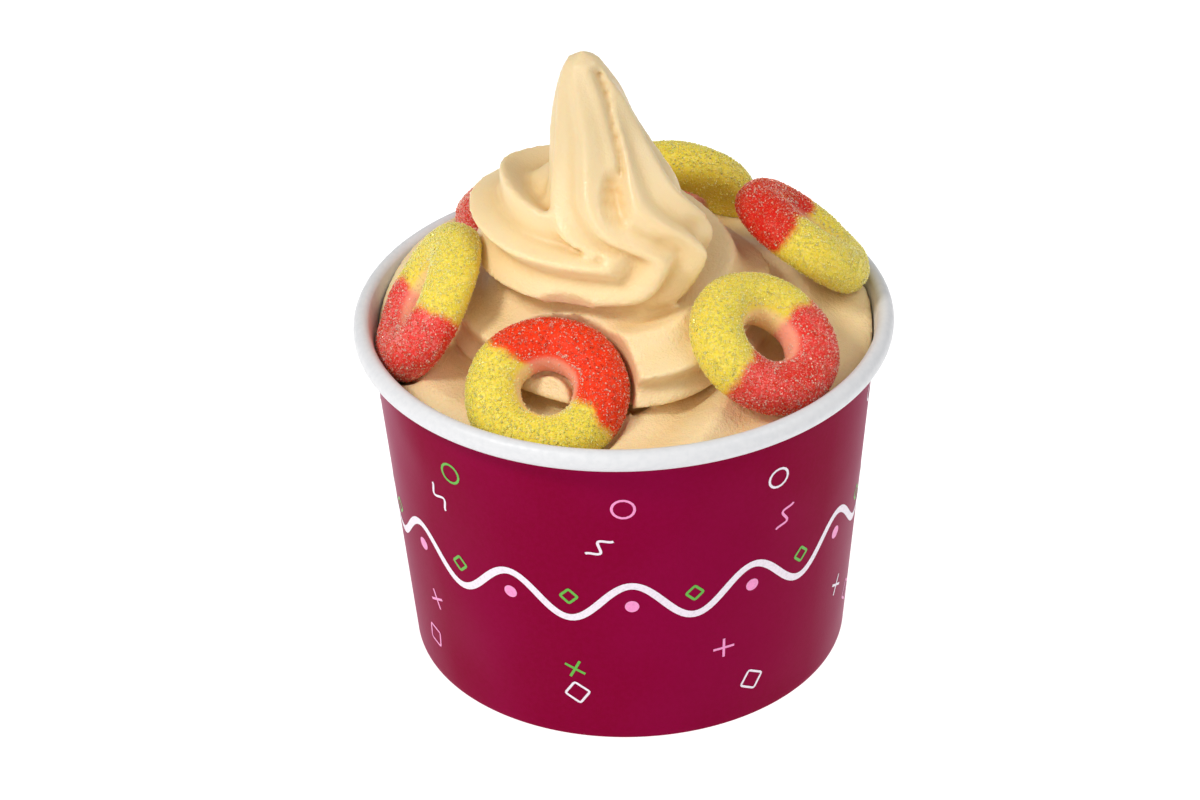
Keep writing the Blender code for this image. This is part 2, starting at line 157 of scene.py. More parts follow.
# The torn pit on the cone's front: x, height, half width, half height, depth
PIT = (-1.2, 114.0, 3.6, 6.0, 3.3)
# x and height of points along the crease that runs down the cone's front, its half width
# and its depth
CREASE = ((-5.4, 138.6), (-4.2, 136.6), (-3.0, 133.2), (-2.1, 129.8), (-1.2, 126.0),
          (-0.4, 122.6), (0.3, 119.0))
CREASE_HALF_WIDTH = 1.35
CREASE_DEPTH = 3.3
CREASE_FADE = 3.0         # over this height the crease fades in and out
TEAR_RAGGED = 0.70
VOXEL = 0.62              # the lattice that the yogurt's surface is rebuilt on
# How a ring presses into the yogurt: how far behind its middle, how softly the dent's edge
# eases out, how far in front of the ring it reaches, and how far yogurt rises in the hole
DENT_DEPTH = 3.6
DENT_BLEND = 0.9
PRESS_REACH = 13.0
HOLE_RISE = 5.9
SEAT_CLEARANCE = 0.05
HIDDEN_BELOW = 60.0       # under this height the mesh is thinned, to this share
HIDDEN_SHARE = 0.6
# Rounds of relaxing that find sharp creases and wide hollows, where the yogurt's colour carries painted
# shade
CREASE_ROUNDS = 30
HOLLOW_ROUNDS = 500

# Sugar: grains of each kind and their size
COARSE_GRAINS = 14000
COARSE_SIZE = 0.27
FINE_GRAINS = 48000
FINE_SIZE = 0.25


# Meshes

def mesh_piece(name, points, faces, materials, material_of_face=None, smooth=True):
    """An object from arrays of points in millimetres and of faces with equal corners."""
    faces = np.asarray(faces, dtype=np.int32)
    corners = faces.shape[1]
    mesh = bpy.data.meshes.new(name)
    mesh.vertices.add(len(points))
    mesh.vertices.foreach_set("co", (np.asarray(points) * MM).astype(np.float32).ravel())
    mesh.loops.add(faces.size)
    mesh.loops.foreach_set("vertex_index", faces.ravel())
    mesh.polygons.add(len(faces))
    mesh.polygons.foreach_set("loop_start", np.arange(0, faces.size, corners, dtype=np.int32))
    mesh.polygons.foreach_set("use_smooth", np.full(len(faces), smooth))
    for material in materials:
        mesh.materials.append(material)
    if material_of_face is not None:
        mesh.polygons.foreach_set("material_index", np.asarray(material_of_face, dtype=np.int32))
    mesh.update(calc_edges=True)
    mesh.validate()
    obj = bpy.data.objects.new(name, mesh)
    bpy.context.scene.collection.objects.link(obj)
    return obj


def grid_faces(rows, columns, wrap_rows):
    """Quads of a grid whose columns close on themselves, and its rows too if asked."""
    i = np.arange(rows if wrap_rows else rows - 1)[:, None]
    j = np.arange(columns)[None, :]
    i_next = (i + 1) % rows
    j_next = (j + 1) % columns
    quads = np.stack([i * columns + j, i * columns + j_next,
                      i_next * columns + j_next, i_next * columns + j], axis=-1)
    return quads.reshape(-1, 4)


def merge_close_points(obj, distance):
    """Merge points closer than a distance, which closes seams and poles."""
    shape = bmesh.new()
    shape.from_mesh(obj.data)
    bmesh.ops.remove_doubles(shape, verts=shape.verts, dist=distance * MM)
    bmesh.ops.dissolve_degenerate(shape, edges=shape.edges, dist=distance * MM)
    bmesh.ops.recalc_face_normals(shape, faces=shape.faces)
    shape.to_mesh(obj.data)
    shape.free()


def read_points(obj):
    """A mesh's points in millimetres."""
    flat = np.empty(3 * len(obj.data.vertices), dtype=np.float32)
    obj.data.vertices.foreach_get("co", flat)
    return flat.reshape(-1, 3).astype(float) / MM


def move_points(obj, rule):
    """Apply a rule on points in millimetres to a mesh."""
    points = rule(read_points(obj))
    obj.data.vertices.foreach_set("co", (points * MM).astype(np.float32).ravel())
    obj.data.update()


def point_attribute(obj, name, values):
    """Store one number for each point, for the materials to read."""
    layer = obj.data.attributes.new(name, "FLOAT", "POINT")
    layer.data.foreach_set("value", np.asarray(values, dtype=np.float32))


def applied(obj):
    """The mesh that an object's modifiers give, put in place of its own."""
    graph = bpy.context.evaluated_depsgraph_get()
    mesh = bpy.data.meshes.new_from_object(obj.evaluated_get(graph))
    obj.modifiers.clear()
    old = obj.data
    obj.data = mesh
    bpy.data.meshes.remove(old)
    return obj


def smooth_step(value):
    """0 below 0, 1 above 1, eased between."""
    t = np.clip(value, 0.0, 1.0)
    return t * t * (3.0 - 2.0 * t)


# The cup

def wall_outside(height):
    """Outside radius of the cup's cone at a height."""
    share = np.clip(height / (CUP_HEIGHT - 2.0 * BEAD_HALF_HEIGHT), 0.0, 1.05)
    return BOTTOM_RADIUS + (TOP_RADIUS - BOTTOM_RADIUS) * share


def cup_profile():
    """The wall's section from the foot up the outside, round the rolled rim and down inside.

    Returns points of radius and height, and for each stretch between two of them
    whether it is printed paper, 0, or plain white paper, 1.
    """
    bead_radius = RIM_RADIUS - BEAD_HALF_WIDTH
    bead_height = CUP_HEIGHT - BEAD_HALF_HEIGHT
    heights = np.linspace(0.35, 72.4, 60)
    outside = np.column_stack([wall_outside(heights), heights])
    foot = np.array([[wall_outside(0.0) - 0.22, 0.0], [wall_outside(0.0) - 0.05, 0.1]])
    angles = np.radians(np.linspace(-125.0, 140.0, 30))
    bead = np.column_stack([bead_radius + BEAD_HALF_WIDTH * np.cos(angles),
                            bead_height + BEAD_HALF_HEIGHT * np.sin(angles)])
    inside_top = bead_height - 1.0
    inside_heights = np.linspace(inside_top, PAPER, 30)
    inside = np.column_stack([wall_outside(inside_heights) - PAPER, inside_heights])
    fold_top = BASE_RECESS - GAP
    fold_outside = wall_outside(0.0) - PAPER - (PAPER + 2.0 * GAP)
    lean = wall_outside(fold_top) - wall_outside(0.0)
    fold = np.array([[fold_outside, PAPER], [fold_outside + lean, fold_top],
                     [fold_outside + lean - PAPER, fold_top], [fold_outside - PAPER, 0.0]])
    points = np.vstack([foot, outside, bead, inside, fold])
    plain = np.ones(len(points))
    plain[:len(foot) + len(outside)] = 0.0
    return points, plain


def seam_lift(turns):
    """How far the overlapping end of the paper raises the wall, at so many turns from +X."""
    arc = (turns - SEAM_TURN) * TURN * 50.0
    return SEAM_STEP * smooth_step((arc + SEAM_WIDTH) / 1.6) * (1.0 - smooth_step(arc / 1.2))


def make_cup(printed, plain):
    """The paper wall, with the step where the paper's two ends overlap at the back."""
    profile, plain_stretch = cup_profile()
    turns = np.arange(CUP_SIDES) / CUP_SIDES
    outside = 1.0 - plain_stretch
    radius = profile[None, :, 0] + seam_lift(turns)[:, None] * outside[None, :]
    points = np.empty((CUP_SIDES, len(profile), 3))
    points[..., 0] = np.cos(turns * TURN)[:, None] * radius
    points[..., 1] = np.sin(turns * TURN)[:, None] * radius
    points[..., 2] = profile[:, 1]
    faces = grid_faces(CUP_SIDES, len(profile), True)[:, ::-1]
    kinds = np.tile(plain_stretch, CUP_SIDES)
    return mesh_piece("cup_paper", points.reshape(-1, 3), faces, [printed, plain], kinds)


# The print: small plain shapes drawn with strokes, and a garland right round the cup

def on_wall(arc, height, proud):
    """A flat drawing laid on the cone: its arc over the radius at mid height is the angle
    from the front, and its height stays."""
    angle = -0.25 * TURN + arc / wall_outside(MID_HEIGHT)
    radius = wall_outside(height) + proud + seam_lift((angle / TURN) % 1.0)
    return np.stack([radius * np.cos(angle), radius * np.sin(angle), height], axis=-1)


def stroke(path, width, closed):
    """A ribbon along a flat path: each point moved half the width to both sides."""
    path = np.asarray(path, dtype=float)
    if closed:
        ahead = np.roll(path, -1, axis=0) - np.roll(path, 1, axis=0)
    else:
        ahead = np.gradient(path, axis=0)
    ahead /= np.linalg.norm(ahead, axis=1, keepdims=True)
    side = np.column_stack([-ahead[:, 1], ahead[:, 0]]) * 0.5 * width
    points = np.stack([path - side, path + side], axis=1).reshape(-1, 2)
    count = len(path)
    i = np.arange(count if closed else count - 1)
    k = (i + 1) % count
    faces = np.column_stack([2 * i, 2 * k, 2 * k + 1, 2 * i + 1])
    return points, faces


def outline(sides, radius, width, turn):
    """A many-sided outline with a few points along each side and its corners eased."""
    share = np.arange(sides * 8) / 8.0
    corner = np.floor(share)
    along = (share - corner)[:, None]
    a = (corner / sides + turn) * TURN
    b = ((corner + 1.0) / sides + turn) * TURN
    start = np.column_stack([np.cos(a), np.sin(a)])
    end = np.column_stack([np.cos(b), np.sin(b)])
    path = (start * (1.0 - along) + end * along) * radius
    path = 0.5 * path + 0.25 * (np.roll(path, 1, axis=0) + np.roll(path, -1, axis=0))
    return [stroke(path, width, True)]


def plus_sign(radius, width, turn):
    """Two short strokes that cross."""
    share = np.linspace(-radius, radius, 6)
    bars = []
    for quarter in (0.0, 0.25):
        a = (turn + quarter) * TURN
        bars.append(stroke(np.column_stack([share * math.cos(a), share * math.sin(a)]), width, False))
    return bars


def wave_mark(radius, width, turn):
    """A short wavy stroke."""
    along = np.linspace(-1.0, 1.0, 24)
    flat = np.column_stack([along * radius, 0.35 * radius * np.sin(along * TURN * 0.75)])
    a = turn * TURN
    spin = np.array([[math.cos(a), -math.sin(a)], [math.sin(a), math.cos(a)]])
    return [stroke(flat @ spin.T, width, False)]


def disc(radius, sides):
    """A filled disc as a ribbon between its rim and a small circle at its middle."""
    a = np.arange(sides) * TURN / sides
    ring = np.column_stack([np.cos(a), np.sin(a)])
    points = np.stack([ring * radius, ring * radius * 0.02], axis=1).reshape(-1, 2)
    i = np.arange(sides)
    k = (i + 1) % sides
    return [(points, np.column_stack([2 * i, 2 * k, 2 * k + 1, 2 * i + 1]))]


def mark(kind, turn):
    """One small shape of the print."""
    if kind == "ring":
        return outline(16, 2.3, MARK_STROKE, turn)
    if kind == "square":
        return outline(4, 2.9, MARK_STROKE, turn)
    if kind == "triangle":
        return outline(3, 3.0, MARK_STROKE, turn)
    if kind == "plus":
        return plus_sign(2.5, 0.6, turn)
    if kind == "wave":
        return wave_mark(3.2, 0.6, turn)
    return disc(0.9, 20)


def scattered_marks():
    """Places of the small shapes: rows above and below the garland, each shifted a little."""
    kinds = ("ring", "plus", "triangle", "wave", "square", "dot")
    colours = ("white_ink", "pink_ink", "green_ink", "pink_ink", "white_ink")
    dice = np.random.default_rng(21)
    around = TURN * wall_outside(MID_HEIGHT)
    places = []
    number = 0
    for height, count, shift in MARK_ROWS:
        for k in range(count):
            arc = ((k + shift) / count - 0.5) * around + dice.uniform(-4.0, 4.0)
            places.append((kinds[(number * 5 + k) % 6], colours[(number * 3 + k) % 5], arc,
                           height + dice.uniform(-2.5, 2.5), dice.uniform(0.0, 1.0)))
            number += 1
    return places


def garland():
    """A wavy line round the cup with a dot in each hollow and a small square on each crest.

    The line's height is a middle height plus a cosine of the arc, a whole number of waves
    round the cup. A short second stroke closes it.
    """
    around = TURN * wall_outside(MID_HEIGHT)
    arc = np.linspace(-0.5, 0.5, GARLAND_WAVES * 32, endpoint=False) * around
    drawn = []
    for along in (arc[:-1], np.array([arc[-2], arc[-1], arc[0] + around])):
        height = GARLAND_HEIGHT + GARLAND_SWING * np.cos(along / around * GARLAND_WAVES * TURN)
        drawn.append(("white_ink", [stroke(np.column_stack([along, height]), GARLAND_STROKE, False)]))
    for k in range(GARLAND_WAVES):
        for share, height, shape, colour in ((0.0, 36.6, disc(1.5, 24), "pink_ink"),
                                             (0.5, 38.6, outline(4, 1.9, 0.6, 0.0), "green_ink")):
            place = np.array([((k + share) / GARLAND_WAVES - 0.5) * around, height])
            drawn.append((colour, [(points + place, faces) for points, faces in shape]))
    return drawn


def make_print(inks):
    """All the shapes of one ink become one thin piece on the wall."""
    drawn = garland()
    for kind, colour, arc, height, turn in scattered_marks():
        place = np.array([arc, height])
        drawn.append((colour, [(points + place, faces) for points, faces in mark(kind, turn)]))
    pieces = []
    for colour, ink in inks.items():
        shapes = [shape for name, group in drawn if name == colour for shape in group]
        starts = np.cumsum([0] + [len(points) for points, _ in shapes[:-1]])
        flat = np.vstack([points for points, _ in shapes])
        faces = np.vstack([faces + start for start, (_, faces) in zip(starts, shapes)])
        points = on_wall(flat[:, 0], flat[:, 1], PRINT_PROUD)
        pieces.append(mesh_piece("print_" + colour, points, faces, [ink]))
    return pieces


# The gummy rings

def ring_frame(azimuth, elevation):
    """Two directions in a ring's plane, across and up the slope, and its face's direction."""
    a = math.radians(azimuth)
    e = math.radians(elevation)
    face = np.array([math.cos(e) * math.cos(a), math.cos(e) * math.sin(a), math.sin(e)])
    across = np.array([-math.sin(a), math.cos(a), 0.0])
    return across, np.cross(face, across), face


def ring_turns(round_sides, section_sides):
    """Turns round a ring and turns round its section, at each point of a grid."""
    return np.broadcast_arrays(np.arange(round_sides)[:, None] / round_sides,
                               np.arange(section_sides)[None, :] / section_sides)


def ring_surface(name, grow, round_turns, section_turns, uneven):
    """Points of a ring for turns round it and turns round its section, which is flat
    behind and domed in front, and how far each lies across and up the ring's plane.

    grow moves the surface outwards. uneven scales slow waves that keep the ring from
    being perfectly even, as a cast sweet is.
    """
    centre, azimuth, elevation, radius = RINGS[name]
    across, upslope, face = ring_frame(azimuth, elevation)
    seed = list(RINGS).index(name) + 1.0
    tube = radius * RING_TUBE_SHARE
    wave = np.sin(section_turns * TURN)
    lumps = (np.sin(2.0 * round_turns * TURN + seed)
             + 0.6 * np.sin(5.0 * round_turns * TURN + 2.7 * seed)
             + 0.4 * np.sin(3.0 * section_turns * TURN + 7.0 * round_turns * TURN + seed))
    dome = RING_DOME + grow + 0.12 * uneven * lumps
    depth = np.where(wave < 0.0, -(RING_BACK + grow) * np.abs(wave) ** 0.7, dome * wave)
    depth = depth + 0.25 * uneven * np.sin(2.0 * round_turns * TURN + 1.9 * seed)
    reach = (radius - tube) + (tube + grow + 0.10 * uneven * lumps) * np.cos(section_turns * TURN)
    u = reach * np.cos(round_turns * TURN)
    v = reach * np.sin(round_turns * TURN)
    points = (np.asarray(centre) + u[..., None] * across + v[..., None] * upslope
              + depth[..., None] * face)
    return points, u, v


def red_share(name, u, v):
    """1 where a ring is red, 0 where it is yellow: a step over a border with slow waves."""
    direction, offset, _ = RED_HALF[name]
    a = math.radians(direction)
    beyond = u * math.cos(a) + v * math.sin(a) - offset
    along = v * math.cos(a) - u * math.sin(a)
    wander = 0.7 * np.sin(0.45 * along + direction) + 0.4 * np.sin(1.1 * along + 2.0 * direction)
    return smooth_step((beyond + wander) / 4.4 + 0.5)


def make_gummy(name, material):
    """One gummy ring, with attributes for its two colours and for its bare hole wall."""
    round_turns, section_turns = ring_turns(RING_SIDES, RING_SECTION_SIDES)
    points, u, v = ring_surface(name, 0.0, round_turns, section_turns, 1.0)
    obj = mesh_piece("gummy_" + name, points.reshape(-1, 3),
                     grid_faces(RING_SIDES, RING_SECTION_SIDES, True), [material])
    point_attribute(obj, "red_share", red_share(name, u, v).ravel())
    bare = smooth_step((-np.cos(section_turns * TURN) - HOLE_WALL) / 0.2)
    point_attribute(obj, "bare", bare.ravel())
    return obj


def sprinkled(count, seed):
    """Places for grains over all the rings: points, the surface's direction there, and how
    red and how white each grain is.

    A grain is kept more often on the dome and the outer side than in the hole or behind,
    and in the hole it is pale.
    """
    dice = np.random.default_rng(seed)
    names = list(RINGS)
    places = []
    directions = []
    shares = []
    for name in names:
        wanted = count // len(names)
        tries = 3 * wanted
        round_turns = dice.random(tries)
        section_turns = dice.random(tries)
        points, u, v = ring_surface(name, 0.0, round_turns, section_turns, 1.0)
        ahead, _, _ = ring_surface(name, 0.0, round_turns + 0.002, section_turns, 1.0)
        beside, _, _ = ring_surface(name, 0.0, round_turns, section_turns + 0.004, 1.0)
        outward = np.cross(ahead - points, beside - points)
        outward /= np.linalg.norm(outward, axis=1, keepdims=True)
        radial = np.cos(section_turns * TURN)
        wave = np.sin(section_turns * TURN)
        keep = (0.62 + 0.38 * radial) * np.where(wave < -0.35, 0.25, 1.0)
        keep = keep * np.where(radial < -HOLE_WALL, 0.18, 1.0)
        kept = np.flatnonzero(dice.random(tries) < keep)[:wanted]
        places.append(points[kept])
        directions.append(outward[kept])
        white = dice.random(len(kept)) ** (1.0 / (FROST[name] + 0.2))
        white = np.where(radial[kept] < -0.6, 0.9, white)
        shares.append(np.column_stack([red_share(name, u[kept], v[kept]), white]))
    return np.vstack(places), np.vstack(directions), np.vstack(shares), dice


def turned_at_random(shape, count, sizes, dice):
    """Copies of a small shape, each turned by a random quaternion and scaled."""
    q = dice.normal(size=(count, 4))
    q /= np.linalg.norm(q, axis=1, keepdims=True)
    w, x, y, z = q.T
    rows = np.stack([
        np.stack([1 - 2 * (y * y + z * z), 2 * (x * y - w * z), 2 * (x * z + w * y)], axis=-1),
        np.stack([2 * (x * y + w * z), 1 - 2 * (x * x + z * z), 2 * (y * z - w * x)], axis=-1),
        np.stack([2 * (x * z - w * y), 2 * (y * z + w * x), 1 - 2 * (x * x + y * y)], axis=-1),
    ], axis=1)
    return np.einsum("nij,kj->nki", rows, shape) * sizes[:, None, None]


def make_sugar(name, count, size, seed, shape, faces, material):
    """Grains of one kind over all the rings, sunk a little into the surface."""
    places, outward, shares, dice = sprinkled(count, seed)
    sizes = size * dice.uniform(0.7, 1.25, len(places))
    grains = turned_at_random(shape, len(places), sizes, dice)
    points = places[:, None, :] + outward[:, None, :] * (0.22 * sizes)[:, None, None] + grains
    starts = np.arange(len(places))[:, None, None] * len(shape)
    all_faces = (faces[None, :, :] + starts).reshape(-1, faces.shape[1])
    obj = mesh_piece(name, points.reshape(-1, 3), all_faces, [material], smooth=False)
    point_attribute(obj, "red_share", np.repeat(shares[:, 0], len(shape)))
    point_attribute(obj, "white_share", np.repeat(shares[:, 1], len(shape)))
    return obj


# A grain as a block and as a chip: corners in grain sizes, and faces
BLOCK = np.array([[x, y, z] for x in (-0.5, 0.5) for y in (-0.5, 0.5) for z in (-0.45, 0.45)])
BLOCK_FACES = np.array([[0, 1, 3, 2], [4, 6, 7, 5], [0, 4, 5, 1], [2, 3, 7, 6], [0, 2, 6, 4],
                        [1, 5, 7, 3]])
CHIP = np.array([[0.62, 0.0, -0.35], [-0.45, 0.55, -0.30], [-0.40, -0.55, -0.32], [0.05, 0.0, 0.55]])
CHIP_FACES = np.array([[0, 2, 1], [0, 1, 3], [1, 2, 3], [2, 0, 3]])


# The yogurt

def rounded_rows(table, steps):
    """A smooth curve through the rows of a table (Catmull-Rom), steps points to a row."""
    rows = np.asarray(table, dtype=float)
    padded = np.vstack([2.0 * rows[0] - rows[1], rows, 2.0 * rows[-1] - rows[-2]])
    t = (np.arange(steps) / steps)[None, :, None]
    p0, p1, p2, p3 = (padded[k:k + len(rows) - 1, None, :] for k in range(4))
    curve = 0.5 * (2.0 * p1 + (p2 - p0) * t + (2.0 * p0 - 5.0 * p1 + 4.0 * p2 - p3) * t ** 2
                   + (3.0 * p1 - p0 - 3.0 * p2 + p3) * t ** 3)
    return np.vstack([curve.reshape(-1, rows.shape[1]), rows[-1:]])


def swirl_axis(height):
    """Where the swirl's axis stands at a height."""
    heights, x, y = np.asarray(SWIRL_AXIS).T
    return np.stack([np.interp(height, heights, x), np.interp(height, heights, y)], axis=-1)


def compass(turns):
    """The level direction at so many turns from +X."""
    angle = np.asarray(turns) * TURN
    return np.stack([np.cos(angle), np.sin(angle)], axis=-1)


def rope_rows():
    """Rows of the rope: middle, direction faced, half depth, vector across, ridges, roll."""
    rows = []
    for turns, reach, z, half_out, half_high, ridge, roll in WINDING:
        x, y = swirl_axis(z) + reach * compass(turns)
        rows.append((x, y, z, turns, half_out, 0.0, 0.0, -half_high, ridge, roll))
    for inner_x, inner_z, outer_x, outer_z, y, half_out, ridge, roll in DRAW:
        rows.append((0.5 * (inner_x + outer_x), y, 0.5 * (inner_z + outer_z), DRAW_FACING, half_out,
                     0.5 * (outer_x - inner_x), 0.0, 0.5 * (outer_z - inner_z), ridge, roll))
    return rows


def rope_surface():
    """The rope of yogurt: a ridged oval section carried along its winding.

    A point of the section lies at an angle from outwards to across. Its distance from
    the rope's middle is the oval's, less a share that the ridges' wave gives: nought on
    a crest and greatest in a valley. A first and a last row of one point close the ends.
    """
    path = rounded_rows(rope_rows(), ROPE_STEPS_PER_ROW).T
    middle = path[:3].T
    facing, half_out = path[3:5]
    across = path[5:8].T
    ridge_depth, roll = path[8:]
    out = half_out[:, None] * np.column_stack([compass(facing), np.zeros_like(facing)])
    angle = np.arange(ROPE_SECTION_SIDES)[None, :] * TURN / ROPE_SECTION_SIDES
    wave = 0.5 * RIDGES * (angle - roll[:, None] * TURN)
    sharp = np.interp(np.arange(len(middle)) / ROPE_STEPS_PER_ROW, CREST_ROWS, CREST_SHARPNESS)[:, None]
    valley = sharp * np.abs(np.sin(wave)) + (1.0 - sharp) * np.sin(wave) ** 2
    size = 1.0 - ridge_depth[:, None] * valley
    points = (middle[:, None, :] + (size * np.cos(angle))[..., None] * out[:, None, :]
              + (size * np.sin(angle))[..., None] * across[:, None, :])
    start = np.broadcast_to(middle[0], (1, ROPE_SECTION_SIDES, 3))
    tip = np.broadcast_to(middle[-1] + [0.0, 0.0, 0.6 * half_out[-1]], (1, ROPE_SECTION_SIDES, 3))
    points = np.concatenate([start, points, tip])
    return points.reshape(-1, 3), grid_faces(len(points), ROPE_SECTION_SIDES, False)


def turned_body(profile, sides, centre):
    """A profile of radius and height turned about an upright axis, closed at both ends."""
    profile = np.asarray(profile)
    profile = np.vstack([[0.0, profile[0, 1]], profile, [0.0, profile[-1, 1]]])
    angle = np.arange(sides) * TURN / sides
    points = np.empty((len(profile), sides, 3))
    points[..., 0] = centre[0] + profile[:, :1] * np.cos(angle)
    points[..., 1] = centre[1] + profile[:, :1] * np.sin(angle)
    points[..., 2] = profile[:, 1:]
    return points.reshape(-1, 3), grid_faces(len(profile), sides, False)


def press_under_rings(points):
    """Press the yogurt down behind each ring, easing out beyond the ring's edge."""
    for centre, azimuth, elevation, radius in RINGS.values():
        face = ring_frame(azimuth, elevation)[2]
        offset = points - np.asarray(centre)
        depth = offset @ face
        away = np.linalg.norm(offset - depth[:, None] * face, axis=1)
        beyond = np.clip((away - radius - 0.3) / DENT_BLEND, 0.0, None)
        limit = -DENT_DEPTH + DENT_BLEND * beyond * (2.5 + beyond)
        hole = radius * (1.0 - 2.0 * RING_TUBE_SHARE)
        limit = limit + HOLE_RISE * np.clip(1.0 - (away / hole) ** 2, 0.0, None)
        ease = np.clip((PRESS_REACH - depth) / (0.5 * PRESS_REACH), 0.0, 1.0)
        pressed = np.clip(depth - limit, 0.0, None) * ease * ease * (3.0 - 2.0 * ease)
        points = points - np.where(away < radius + 3.0 * DENT_BLEND, pressed, 0.0)[:, None] * face
    return points


def tear_pit(points):
    """Push the front of the cone in where it is torn.

    The pit is deepest in its middle and nought at its oval edge. The crease above it is
    deepest on its line and fades at both ends. A product of two waves makes both ragged.
    """
    x, z, half_wide, half_high, depth = PIT
    apart = np.hypot((points[:, 0] - x) / half_wide, (points[:, 2] - z) / half_high)
    pit = np.clip(1.0 - apart ** 2, 0.0, None) ** 1.5
    crease_x, crease_z = np.asarray(CREASE).T
    line_x = np.interp(points[:, 2], crease_z[::-1], crease_x[::-1])
    off = np.abs(points[:, 0] - line_x) / CREASE_HALF_WIDTH
    low_end = smooth_step((points[:, 2] - crease_z[-1] + CREASE_FADE) / CREASE_FADE)
    high_end = smooth_step((crease_z[0] - points[:, 2]) / CREASE_FADE)
    ends = low_end * high_end
    crease = np.clip(1.0 - off, 0.0, None) ** 1.3 * ends
    up_wave = np.sin(3.3 * points[:, 2] + 2.0 * np.sin(1.7 * points[:, 0]))
    ragged = up_wave * np.sin(2.9 * points[:, 0] + 1.0)
    push = (depth * pit + CREASE_DEPTH * crease
            + TEAR_RAGGED * ragged * np.clip(pit + 0.5 * crease, 0.0, 0.6))
    points = points.copy()
    points[:, 1] += np.where(points[:, 1] < 0.0, push, 0.0)
    return points


def keep_inside_cup(points):
    """Hold the yogurt clear of the cup's wall and base."""
    limit = wall_outside(points[:, 2]) - PAPER - GAP
    radius = np.hypot(points[:, 0], points[:, 1])
    share = np.minimum(1.0, limit / np.maximum(radius, 1e-6))
    share = np.where(points[:, 2] < CUP_HEIGHT + 3.0, share, 1.0)
    points = points.copy()
    points[:, :2] *= share[:, None]
    points[:, 2] = np.maximum(points[:, 2], BASE_RECESS + PAPER + GAP)
    return points


def quads_of(obj):
    """The corners of each face of a mesh of quads."""
    corners = np.empty(len(obj.data.loops), dtype=np.int32)
    obj.data.loops.foreach_get("vertex_index", corners)
    return corners.reshape(-1, 4)


def largest_shell(point_count, faces):
    """Which points belong to the shell that has most: each takes the least number it can
    reach, by taking its neighbours' over and over."""
    label = np.arange(point_count)
    ends = np.vstack([faces[:, [0, 1]], faces[:, [1, 2]], faces[:, [2, 3]]])
    while True:
        before = label.copy()
        least = np.minimum(label[ends[:, 0]], label[ends[:, 1]])
        np.minimum.at(label, ends[:, 0], least)
        np.minimum.at(label, ends[:, 1], least)
        label = label[label]
        label = label[label]
        if np.array_equal(before, label):
            break
    names, sizes = np.unique(label, return_counts=True)
    return label == names[np.argmax(sizes)]


def fuse(obj):
    """Rebuild an object's surface on a fine lattice and keep its largest shell alone."""
    remesh = obj.modifiers.new("fuse", "REMESH")
    remesh.mode = "VOXEL"
    remesh.voxel_size = VOXEL * MM
    applied(obj)
    points = read_points(obj)
    faces = quads_of(obj)
    kept = largest_shell(len(points), faces)
    number = np.cumsum(kept) - 1
    faces = number[faces[kept[faces[:, 0]]]]
    name = obj.name
    bpy.data.objects.remove(obj, do_unlink=True)
    return mesh_piece(name, points[kept], faces, [])


def soften(obj, rounds):
    """Relax a mesh's points towards their neighbours."""
    smooth = obj.modifiers.new("soften", "SMOOTH")
    smooth.factor = 0.5
    smooth.iterations = rounds
    return applied(obj)


def thin_below(obj, height, ratio):
    """Thin the mesh where the cup hides it."""
    points = read_points(obj)
    group = obj.vertex_groups.new(name="hidden")
    for index in np.flatnonzero(points[:, 2] < height).reshape(1, -1):
        group.add(index.tolist(), 1.0, "REPLACE")
    thin = obj.modifiers.new("thin", "DECIMATE")
    thin.vertex_group = "hidden"
    thin.ratio = ratio
    thin.use_collapse_triangulate = True
    return applied(obj)


def seat_rings(yogurt):
    """Cut each ring's form, grown by the clearance, out of the yogurt."""
    cutters = []
    for name in RINGS:
        sides = (RING_SIDES // 2, RING_SECTION_SIDES // 2)
        points, _, _ = ring_surface(name, SEAT_CLEARANCE, *ring_turns(*sides), 1.0)
        cutter = mesh_piece(name + "_seat", points.reshape(-1, 3), grid_faces(*sides, True), [])
        merge_close_points(cutter, 0.001)
        cutters.append(cutter)
        cut = yogurt.modifiers.new("seat", "BOOLEAN")
        cut.operation = "DIFFERENCE"
        cut.solver = "MANIFOLD"
        cut.object = cutter
    applied(yogurt)
    for cutter in cutters:
        bpy.data.objects.remove(cutter, do_unlink=True)
    return yogurt


def hollow_depth(obj, rounds):
    """How deep each point lies in a hollow, in millimetres: how far a copy relaxed by so many
    rounds stands out in front of it. Few rounds find creases and many find wide hollows."""
    copy = obj.copy()
    copy.data = obj.data.copy()
    bpy.context.scene.collection.objects.link(copy)
    soften(copy, rounds)
    normals = np.empty(3 * len(obj.data.vertices), dtype=np.float32)
    obj.data.vertices.foreach_get("normal", normals)
    depth = np.sum((read_points(copy) - read_points(obj)) * normals.reshape(-1, 3), axis=1)
    bpy.data.objects.remove(copy, do_unlink=True)
    return depth


